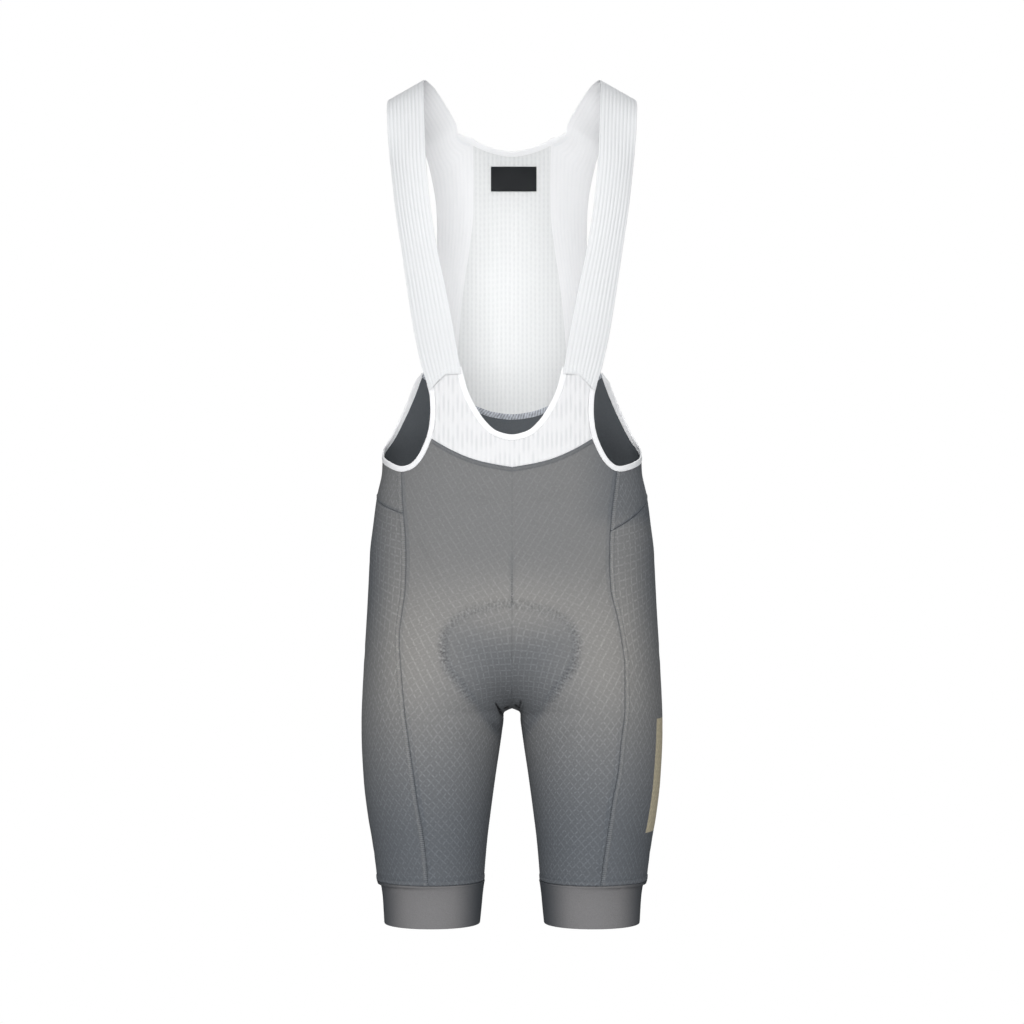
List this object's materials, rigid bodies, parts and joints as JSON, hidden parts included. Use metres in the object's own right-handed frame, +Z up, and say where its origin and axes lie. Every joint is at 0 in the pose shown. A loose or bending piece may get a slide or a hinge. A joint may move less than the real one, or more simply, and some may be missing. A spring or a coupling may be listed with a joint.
{
  "type": "cycling bib shorts",
  "caption": "Thigh-length stretch-knit cycling shorts with a padded crotch, elastic cuffs, a low mesh bib and back panel, and two shoulder straps, filled out as when worn.",
  "frame": {"origin": "midway between the tops of the two shoulder straps, on the centre line, where the wearer's shoulders hold the garment up", "axes": "+Z up, -Y out of the garment's front, +X to the wearer's left"},
  "size_m": [0.3392, 0.2332, 0.9517],
  "materials": {
    "grey_knit": "fine grey stretch knit with a raised grid of thin lighter lines, dull sheen",
    "grey_band": "smooth grey elastic band, slightly warmer and lighter than the shorts",
    "white_mesh": "white open knit with fine vertical ribs, matt",
    "white_elastic": "smooth white elastic with fine lengthwise ribs, matt",
    "black_label": "plain black woven label with folded, sewn edges",
    "pad_foam": "dark grey brushed knit over foam"
  },
  "bodies": {
    "root": {"front_left": "grey_knit", "front_right": "grey_knit", "leg_back_left": "grey_knit", "leg_back_right": "grey_knit", "back_yoke": "grey_knit", "cuff_left": "grey_band", "cuff_right": "grey_band", "bib_front": "white_mesh", "back_mesh": "white_mesh", "strap_left": "white_elastic", "strap_right": "white_elastic", "neck_binding_front": "white_elastic", "neck_binding_back": "white_elastic", "armhole_binding_left": "white_elastic", "armhole_binding_right": "white_elastic", "label": "black_label", "pad": "pad_foam"}
  },
  "joints": []
}
